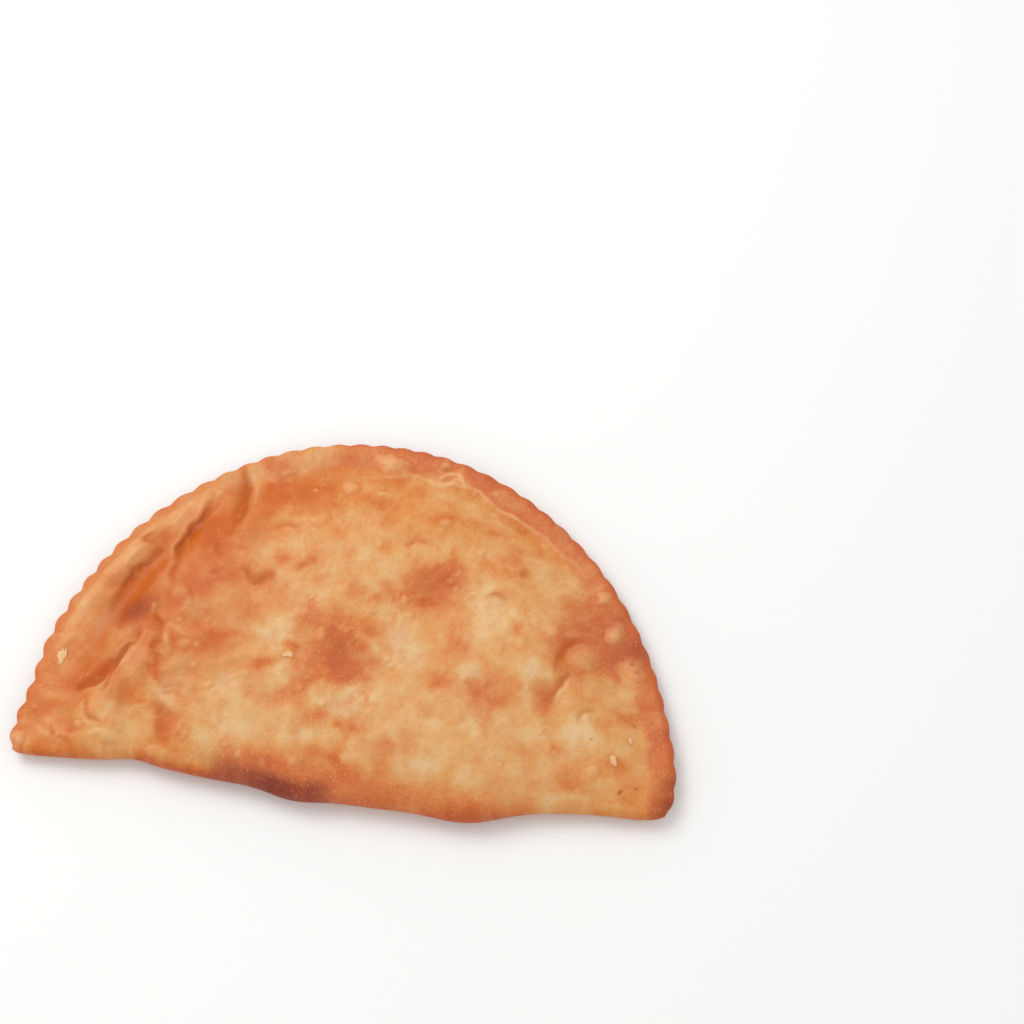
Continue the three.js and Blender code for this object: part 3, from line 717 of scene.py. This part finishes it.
def edge_ring(border, high, low, latitude, on_fold):
    """One ring of the rounded edge: an arc of an ellipse bent outwards from the upper sheet to
    the lower one. Latitude is 1 at the upper sheet and -1 at the lower one."""
    along_x = np.roll(border.x, -1) - np.roll(border.x, 1)
    along_y = np.roll(border.y, -1) - np.roll(border.y, 1)
    long = np.hypot(along_x, along_y)
    start = np.radians(90 - np.where(on_fold, FOLD_OPENING * fold_taper(border.x), 0))
    reach = np.where(on_fold, fold_inset(border.x), LIP + flute(border.angle))
    out = reach * (np.cos(latitude * start) - np.cos(start)) / (1 - np.cos(start))
    z = (high + low) / 2 + (high - low) / 2 * np.sin(latitude * start) / np.sin(start)
    return np.stack([border.x + out * along_y / long, border.y - out * along_x / long, z], axis=1)


def edge_shade_and_browning(x, on_fold):
    """How much browner the edge's outer side is painted, by its place along the pastry: three humps
    on the fold, and a rise to the right on the arc. Most of it is painted shade, where the edge
    turns down from the light."""
    front = bell((x + 50) / 14) + 0.4 * bell((x + 18) / 9) + 0.5 * bell((x - 44) / 12)
    arc = 0.4 * ease(x, -50, 20) + ease(x, 86, 97)
    return 0.2 + np.where(on_fold, front, arc)


def crust_arrays(settings):
    """Points in mm, faces and stains of the whole crust: the upper sheet, the edge's rings from
    the top down, and the lower sheet, whose border is the last ring."""
    top, bottom = plan(COLUMNS, ROWS), plan(COLUMNS // 2, ROWS // 2)
    height, stain = upper_face(top, settings)
    low_height, low_stain = lower_face(bottom, settings)
    i, j, border = border_of(top)
    low_i, low_j, _ = border_of(bottom)
    high, low, on_fold = height[i, j], low_height[low_i, low_j], j == 0
    low = np.interp(np.arange(i.size), np.arange(0, i.size + 1, 2), np.append(low, low[0]))
    above, below = stain[i, j], np.repeat(low_stain[low_i, low_j], 2, axis=0)

    top_index = np.arange(top.x.size).reshape(top.x.shape)
    points = [np.stack([top.x, top.y, height], axis=-1).reshape(-1, 3)]
    stains = [stain.reshape(-1, len(STAINS))]
    rings, quads, triangles = [top_index[i, j]], [sheet_quads(top_index, True)], []
    count = top.x.size
    for latitude in UPPER_LATITUDES + LOWER_LATITUDES:
        step = 1 if latitude >= 0 else 2
        ring = edge_ring(border, high, low, latitude, on_fold)[::step]
        share = ease(latitude, -1.1, 0.2)
        mixed = share * above[::step] + (1 - share) * below[::step]
        # Painted shade: the edge's outer side darkens more the further down it turns; the blotches are
        # the crust's own.
        browner = edge_shade_and_browning(border.x[::step], on_fold[::step])
        blotches = mottle(ring[:, 0] + ring[:, 1], 1.5 * ring[:, 2], 8, 163, 2)
        mixed[:, BROWNING] += browner * (1 - latitude) * ease(latitude, -1.1, 0)
        mixed[:, BROWNING] += 0.14 * blotches * (1 - abs(latitude))
        points.append(ring)
        stains.append(mixed)
        rings.append(np.arange(count, count + len(ring)))
        count += len(ring)
    for upper, lower in zip(rings, rings[1:]):
        after = np.roll(lower, -1)
        if upper.size == lower.size:
            quads.append(np.stack([upper, lower, after, np.roll(upper, -1)], axis=1))
        else:
            left, middle, right = upper[0::2], upper[1::2], np.roll(upper[0::2], -1)
            fan = (left, lower, middle), (middle, lower, after), (middle, after, right)
            triangles += [np.stack(corners, axis=1) for corners in fan]

    inside = np.ones(bottom.x.shape, bool)
    inside[low_i, low_j] = False
    bottom_index = np.empty(bottom.x.shape, int)
    bottom_index[low_i, low_j] = rings[-1]
    bottom_index[inside] = np.arange(count, count + inside.sum())
    points.append(np.stack([bottom.x[inside], bottom.y[inside], low_height[inside]], axis=1))
    stains.append(low_stain[inside])
    quads.append(sheet_quads(bottom_index, False))
    return np.vstack(points), [np.vstack(quads), np.vstack(triangles)], np.vstack(stains)


def middle_of_plan():
    """Middle of the pastry's outline in its own plan, which the CAD model puts at the origin."""
    _, j, border = border_of(plan(COLUMNS, ROWS))
    outline = edge_ring(border, 1, 0, 0, j == 0)[:, :2]
    return (outline.min(axis=0) + outline.max(axis=0)) / 2


def scrap_grid(upper, at_x, at_y, half_x, half_y, turn, seed):
    """A scrap of skin: a closed flat lens whose outline is a ragged ellipse, carried on rings
    from its middle to its edge, first over the top and then back underneath."""
    rng = np.random.default_rng(seed)
    around = np.linspace(0, 2 * np.pi, SCRAP_POINTS, endpoint=False)
    ragged = 1 + 0.28 * rng.uniform(-1, 1, SCRAP_POINTS) + 0.15 * np.sin(3 * around + rng.uniform(0, 6))
    shares, lifts = np.array(SCRAP_PROFILE).T[:, :, None]
    c, s = math.cos(math.radians(turn)), math.sin(math.radians(turn))
    u = shares * (ragged * half_x * np.cos(around))
    v = shares * (ragged * half_y * np.sin(around))
    middle = middle_of_plan()
    x, y = at_x - middle[0] + u * c - v * s, at_y - middle[1] + u * s + v * c
    curl = 0.2 * shares ** 2 * np.maximum(np.sin(around + rng.uniform(0, 6)), 0)
    z = surface_height(upper, x.ravel(), y.ravel()).reshape(x.shape) + lifts + curl
    return np.stack([x, y, z], axis=-1)


def surface_height(upper, x, y):
    """Height of the upper sheet at each point: the mean of the grid points round it, weighted by
    the inverse sixth power of their distance."""
    near = (upper[:, 0] > x.min() - 2) & (upper[:, 0] < x.max() + 2)
    near &= (upper[:, 1] > y.min() - 2) & (upper[:, 1] < y.max() + 2)
    grid = upper[near]
    weight = 1 / ((x[:, None] - grid[:, 0]) ** 2 + (y[:, None] - grid[:, 1]) ** 2 + 0.01) ** 3
    return (weight * grid[:, 2]).sum(axis=1) / weight.sum(axis=1)


def make_piece(name, points, faces, material, stains=None):
    """A new object at the origin whose mesh has these points (in metres) and faces."""
    mesh = bpy.data.meshes.new(name)
    sizes = np.concatenate([np.full(len(part), part.shape[1]) for part in faces])
    corners = np.concatenate([part.ravel() for part in faces])
    mesh.vertices.add(len(points))
    mesh.vertices.foreach_set("co", np.ascontiguousarray(points, dtype=np.float32).ravel())
    mesh.loops.add(len(corners))
    mesh.loops.foreach_set("vertex_index", corners.astype(np.int32))
    mesh.polygons.add(len(sizes))
    mesh.polygons.foreach_set("loop_start", (np.cumsum(sizes) - sizes).astype(np.int32))
    mesh.polygons.foreach_set("use_smooth", np.ones(len(sizes), bool))
    mesh.update(calc_edges=True)
    if stains is not None:
        for stain, values in zip(STAINS, stains.T.astype(np.float32)):
            mesh.attributes.new(stain, "FLOAT", "POINT").data.foreach_set("value", values)
    mesh.validate()
    mesh.materials.append(material)
    piece = bpy.data.objects.new(name, mesh)
    bpy.context.scene.collection.objects.link(piece)
    return piece


# ======== materials

def sum_node(operation, reflected=False):
    """A Wire's operator: it adds one Math node, whose terms are swapped for the reflected form."""
    def method(self, other):
        terms = (other, self) if reflected else (self, other)
        return self.recipe.node("ShaderNodeMath", {"operation": operation}, dict(enumerate(terms)))
    return method


class Wire:
    """One output of a shader node. A sum written with it adds the Math nodes it needs."""

    def __init__(self, recipe, socket):
        self.recipe, self.socket = recipe, socket

    __add__ = __radd__ = sum_node("ADD")
    __mul__ = __rmul__ = sum_node("MULTIPLY")
    __sub__, __rsub__ = sum_node("SUBTRACT"), sum_node("SUBTRACT", reflected=True)
    __gt__, __lt__ = sum_node("GREATER_THAN"), sum_node("LESS_THAN")


class Recipe:
    """A material and the calls that build its nodes."""

    def __init__(self, name):
        self.material = bpy.data.materials.new(name)
        self.material.use_nodes = True
        self.tree = self.material.node_tree
        self.shader = self.tree.nodes["Principled BSDF"]

    def node(self, kind, settings=None, sockets=None, output=0):
        """Adds a node: its own settings and its ramp's stops first, then its sockets."""
        node = self.tree.nodes.new(kind)
        for key, value in (settings or {}).items():
            if key == "stops":
                set_stops(node.color_ramp, value)
            else:
                setattr(node, key, value)
        for key, value in (sockets or {}).items():
            self.feed(node.inputs[key], value)
        return Wire(self, node.outputs[output])

    def feed(self, socket, value):
        """Links a wire to a socket, or sets a plain value on it."""
        if isinstance(value, Wire):
            self.tree.links.new(value.socket, socket)
        else:
            socket.default_value = value

    def surface(self, sockets):
        """Feeds the shader's sockets, and gives the finished material."""
        for key, value in sockets.items():
            self.feed(self.shader.inputs[key], value)
        return self.material

    def mix(self, factor, first, second):
        """First colour, changed to the second as factor goes from 0 to 1."""
        return self.node("ShaderNodeMix", {"data_type": "RGBA"}, {0: factor, 6: first, 7: second}, 2)

    def stain(self, name):
        """One of the stains that the mesh carries at its points."""
        return self.node("ShaderNodeAttribute", {"attribute_name": name}, {}, "Fac")

    def place(self):
        """A point's place in the piece, in metres."""
        return self.node("ShaderNodeTexCoord", {}, {}, "Object")

    def noise(self, size, detail=2.0, roughness=0.5):
        """Noise from 0 to 1 with features about size metres across."""
        sockets = {"Vector": self.place(), "Scale": 1 / size, "Detail": detail, "Roughness": roughness}
        return self.node("ShaderNodeTexNoise", {}, sockets)

    def ease(self, value, low, high):
        """From 0 at low to 1 at high along an S."""
        sockets = {"Value": value, "From Min": low, "From Max": high}
        return self.node("ShaderNodeMapRange", {"interpolation_type": "SMOOTHSTEP"}, sockets)

    def bump(self, relief, height):
        """Normals tilted by a relief whose 1 stands for this height in metres, at half strength."""
        return self.node("ShaderNodeBump", {}, {"Strength": 0.5, "Distance": height, "Height": relief})


def set_stops(ramp, stops):
    """A ramp's stops, as (position, colour)."""
    while len(ramp.elements) < len(stops):
        ramp.elements.new(0.5)
    for element, (position, colour) in zip(ramp.elements, stops):
        element.position, element.color = position, colour


def linear(red, green, blue):
    """A screen colour from 0 to 255 as a shader's linear colour: each channel is divided by 12.92
    where it is dark, and else raised to the power of 2.4."""
    def channel(value):
        c = value / 255
        return c / 12.92 if c <= 0.04045 else ((c + 0.055) / 1.055) ** 2.4
    return channel(red), channel(green), channel(blue)


def rgba(colour):
    """An opaque colour."""
    return (*colour, 1.0)


def fried_dough(settings):
    """Fried crust: a ramp from cream to brown, reddened and burnt by the stains, darkened with
    painted shade in creases and hollows, paled with painted highlight on ridges, with painted
    glints, fine grain and an uneven satin gloss."""
    recipe = Recipe("fried_crust")
    redness = recipe.stain("redness")
    fine = recipe.noise(0.0022, 4.0, 0.6)
    coarse = recipe.noise(0.0065, 3.0, 0.55)
    grainy = recipe.noise(0.0009, 2.0, 0.6)
    oil = recipe.noise(0.012)
    island = recipe.ease(recipe.noise(0.012, 4.0, 0.6), 0.42, 0.66)
    burn = recipe.stain("burn") * (0.6 + 0.8 * grainy)

    tone = recipe.stain("browning") + 0.075 - 0.17 * island + (coarse - 0.5) * 0.2
    tone = tone + (fine - 0.5) * 0.22 + (grainy - 0.5) * (0.42 + 0.4 * redness)
    steps = (settings.cream, settings.golden, settings.orange, settings.brown, settings.dark)
    stops = list(zip((0.0, 0.25, 0.5, 0.75, 1.0), map(rgba, steps)))
    colour = recipe.node("ShaderNodeValToRGB", {"stops": stops}, {"Fac": tone})

    # Painted glints: tiny bright dots in a share of the Voronoi cells, more of them where the crust is
    # reddish.
    cells = {"Vector": recipe.place(), "Scale": 1 / GLINT_CELL}
    middle = recipe.node("ShaderNodeTexVoronoi", {}, cells, "Distance")
    chance = recipe.node("ShaderNodeTexVoronoi", {}, cells, "Color")
    chance = recipe.node("ShaderNodeSeparateColor", {}, {"Color": chance}, "Red")
    painted_glint = (middle < GLINT_RADIUS) * (chance > 0.8 - 0.6 * redness)

    # Colours laid over the ramp in turn: reddish skin, painted shade, pale skin with painted highlight,
    # burn with painted shade, and painted glints.
    for factor, cover in (
        (redness * (0.5 + 0.5 * fine), settings.red),
        (recipe.stain("crease") * 0.88, settings.crease),
        (recipe.stain("skin") * 0.75, settings.skin),
        (burn * 0.95, settings.burnt),
        (painted_glint * 0.4, settings.painted_glint),
    ):
        colour = recipe.mix(factor, colour, rgba(cover))
    return recipe.surface({
        "Base Color": colour,
        "Roughness": 0.58 - 0.16 * oil - 0.2 * painted_glint + 0.12 * burn,
        "Normal": recipe.bump(0.5 * fine + 0.35 * grainy + 0.6 * painted_glint, settings.grain_relief),
        "Specular IOR Level": 0.3,
        "Subsurface Weight": 0.06,
        "Subsurface Radius": (1.0, 0.45, 0.2),
        "Subsurface Scale": 0.002,
    })


def dry_skin(settings):
    """Thin dry skin: pale, blotched, with flaky grain."""
    recipe = Recipe("torn_skin")
    blotch = recipe.noise(0.0015, 3.0, 0.6)
    return recipe.surface({
        "Base Color": recipe.mix(blotch, rgba(settings.skin), rgba(settings.scrap)),
        "Roughness": 0.5 + 0.2 * blotch,
        "Normal": recipe.bump(blotch, FLAKE_RELIEF),
    })


# ======== settings

def tint(name, description, *screen):
    """A colour setting whose default is a screen colour."""
    return bpy.props.FloatVectorProperty(
        name=name, description=description, size=3, subtype="COLOR", min=0, max=1,
        default=linear(*screen))


def amount(name, description, default, **limits):
    """A number setting, whole where its default is."""
    kind = bpy.props.IntProperty if isinstance(default, int) else bpy.props.FloatProperty
    return kind(name=name, description=description, default=default, **limits)


def metres(name, description, default, **limits):
    """A length setting, in metres."""
    return amount(name, description, default, unit="LENGTH", subtype="DISTANCE", **limits)


class CrustSettings(bpy.types.PropertyGroup):
    """Sizes and colours of the crust."""
    crease_relief: amount("Crease relief", "How strongly the creases stand out", 0.8, min=0, max=3)
    crumple: amount("Crumpling", "Height of the ridges on the crumpled flank, in mm", 0.5, min=0, max=3)
    blister_relief: amount("Blister relief", "How strongly the blisters stand out", 1.0, min=0, max=3)
    small_blisters: amount("Small blisters", "How many tiny blisters are strewn", 110, min=0, max=2000)
    small_spots: amount("Small spots", "How many small browned spots are strewn", 150, min=0, max=2000)
    grain_relief: metres(
        "Grain", "Height of the crust's fine unevenness", 0.00035, min=0, max=0.002, precision=5)
    cream: tint("Cream", "Palest dough", 218, 178, 128)
    golden: tint("Golden", "Lightly fried dough", 214, 159, 98)
    orange: tint("Orange", "Well fried dough", 211, 139, 73)
    brown: tint("Brown", "Browned patches", 203, 111, 44)
    dark: tint("Dark", "Deepest patches", 182, 80, 18)
    red: tint("Reddish", "Thin skin on the rim and on browned patches", 198, 107, 70)
    # The colour of the painted shade in creases, hollows and dark zones.
    crease: tint("Crease", "Depth of the creases", 188, 86, 8)
    # Also the colour of painted shade in crease cores and along the fold's foot.
    burnt: tint("Burnt", "Burnt strip and specks", 116, 40, 30)
    # Also the colour of the painted highlight on ridges.
    skin: tint("Blister skin", "Top of the blisters", 225, 170, 114)
    scrap: tint("Torn skin", "Scraps of torn skin", 226, 178, 131)
    # Painted glints: bright dots that stand in for light caught by oil.
    painted_glint: tint("Oil speck", "Tiny bright specks", 244, 216, 180)


class StudioSettings(bpy.types.PropertyGroup):
    """Floor, light and camera."""
    floor_colour: tint("Floor", "Colour of the floor", 240, 240, 238)
    floor_size: metres("Floor size", "Side of the floor", 30.0, min=1)
    key_power: amount("Key light", "Power of the large soft light", 4.6, min=0, unit="POWER")
    key_size: metres("Key size", "Side of the large soft light", 0.6, min=0.05)
    surround: amount("Surround", "Brightness of the white surround", 0.84, min=0)
    lens: amount("Lens", "Focal length in millimetres", 70.0, min=10, max=300)


# ======== operators

class OBJECT_OT_cheburek_crust(bpy.types.Operator):
    """Make the fried crust in place of the CAD solid"""
    bl_idname = "object.cheburek_crust"
    bl_label = "Make crust"

    def execute(self, context):
        settings = context.scene.cheburek_crust
        points, faces, stains = crust_arrays(settings)
        points[:, :2] -= middle_of_plan()
        low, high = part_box(NODE)
        points = points * MM + np.array([(low[0] + high[0]) / 2, (low[1] + high[1]) / 2, low[2]])
        crust = make_piece("crust", points, faces, fried_dough(settings), stains)
        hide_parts(NODE)
        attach(crust, "root")
        return {"FINISHED"}


class OBJECT_OT_cheburek_scraps(bpy.types.Operator):
    """Lay scraps of torn skin on the crust"""
    bl_idname = "object.cheburek_scraps"
    bl_label = "Make torn skin"

    def execute(self, context):
        crust = bpy.data.objects.get("crust")
        if crust is None:
            raise RuntimeError("make the crust first: the scraps lie on it")
        surface = np.empty(3 * len(crust.data.vertices), np.float32)
        crust.data.vertices.foreach_get("co", surface)
        upper = surface.reshape(-1, 3)[:(COLUMNS + 1) * (ROWS + 1)] / MM
        grids = np.array([scrap_grid(upper, *scrap) for scrap in SCRAPS]) * MM
        index = np.arange(grids[..., 0].size).reshape(grids.shape[:3])
        after = np.roll(index, -1, axis=2)
        quads = np.stack([index[:, :-1], index[:, 1:], after[:, 1:], after[:, :-1]], axis=-1)
        faces = [quads.reshape(-1, 4), index[:, 0], index[:, -1, ::-1]]
        material = dry_skin(context.scene.cheburek_crust)
        piece = make_piece("torn_skin", grids.reshape(-1, 3), faces, material)
        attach(piece, "root")
        return {"FINISHED"}


def aimed(name, data, place, forward):
    """A new light or camera at a place, turned so that it looks forward."""
    thing = bpy.data.objects.new(name, data)
    thing.location, thing.rotation_euler = place, forward.to_track_quat("-Z", "Y").to_euler()
    bpy.context.scene.collection.objects.link(thing)
    return thing


class OBJECT_OT_cheburek_studio(bpy.types.Operator):
    """Make the floor, the light and the camera"""
    bl_idname = "object.cheburek_studio"
    bl_label = "Make studio"

    def execute(self, context):
        scene, settings = context.scene, context.scene.cheburek_studio
        half = settings.floor_size / 2
        corners = np.array([(-half, -half, 0), (half, -half, 0), (half, half, 0), (-half, half, 0)])
        corners[:, 2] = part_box(NODE)[0][2] - FLOOR_GAP
        matt = Recipe("floor").surface({"Base Color": rgba(settings.floor_colour), "Roughness": 0.7})
        floor = make_piece("floor", corners, [np.array([[0, 1, 2, 3]])], matt)

        world = bpy.data.worlds.new("surround")
        world.use_nodes = True
        background = world.node_tree.nodes["Background"].inputs
        background["Color"].default_value = (1, 1, 1, 1)
        background["Strength"].default_value = settings.surround
        scene.world = world

        light = bpy.data.lights.new("key", "AREA")
        light.energy, light.size = settings.key_power, settings.key_size
        aimed("key", light, Vector(KEY_PLACE), -Vector(KEY_PLACE))

        data = bpy.data.cameras.new("camera")
        data.lens, data.sensor_width, data.sensor_fit = settings.lens, SENSOR_WIDTH, "HORIZONTAL"
        turn, tilt = math.radians(CAMERA_TURN), math.radians(CAMERA_TILT)
        level = math.cos(tilt)
        back = Vector((math.sin(turn) * level, -math.cos(turn) * level, math.sin(tilt)))
        scene.camera = aimed("camera", data, Vector(CAMERA_TARGET) + CAMERA_DISTANCE * back, -back)
        scene.view_settings.view_transform = "Standard"
        return {"FINISHED"}


class VIEW3D_PT_cheburek(bpy.types.Panel):
    """The pastry's settings and the buttons that make it"""
    bl_label = "Cheburek"
    bl_idname = "VIEW3D_PT_cheburek"
    bl_space_type = "VIEW_3D"
    bl_region_type = "UI"
    bl_category = "Cheburek"

    def draw(self, context):
        for group, operators in (
            (context.scene.cheburek_crust, (OBJECT_OT_cheburek_crust, OBJECT_OT_cheburek_scraps)),
            (context.scene.cheburek_studio, (OBJECT_OT_cheburek_studio,)),
        ):
            box = self.layout.box()
            for name in group.__annotations__:
                box.prop(group, name)
            for operator in operators:
                box.operator(operator.bl_idname)


CLASSES = (
    CrustSettings,
    StudioSettings,
    OBJECT_OT_cheburek_crust,
    OBJECT_OT_cheburek_scraps,
    OBJECT_OT_cheburek_studio,
    VIEW3D_PT_cheburek,
)


def register():
    """Adds the classes, and the settings to the scene."""
    for cls in CLASSES:
        bpy.utils.register_class(cls)
    bpy.types.Scene.cheburek_crust = bpy.props.PointerProperty(type=CrustSettings)
    bpy.types.Scene.cheburek_studio = bpy.props.PointerProperty(type=StudioSettings)


def unregister():
    """Takes both away again."""
    del bpy.types.Scene.cheburek_crust
    del bpy.types.Scene.cheburek_studio
    for cls in reversed(CLASSES):
        bpy.utils.unregister_class(cls)


def main():
    """Makes the stage, the crust and the scraps."""
    register()
    bpy.ops.object.cheburek_studio()
    bpy.ops.object.cheburek_crust()
    bpy.ops.object.cheburek_scraps()


if __name__ == "__main__":
    main()
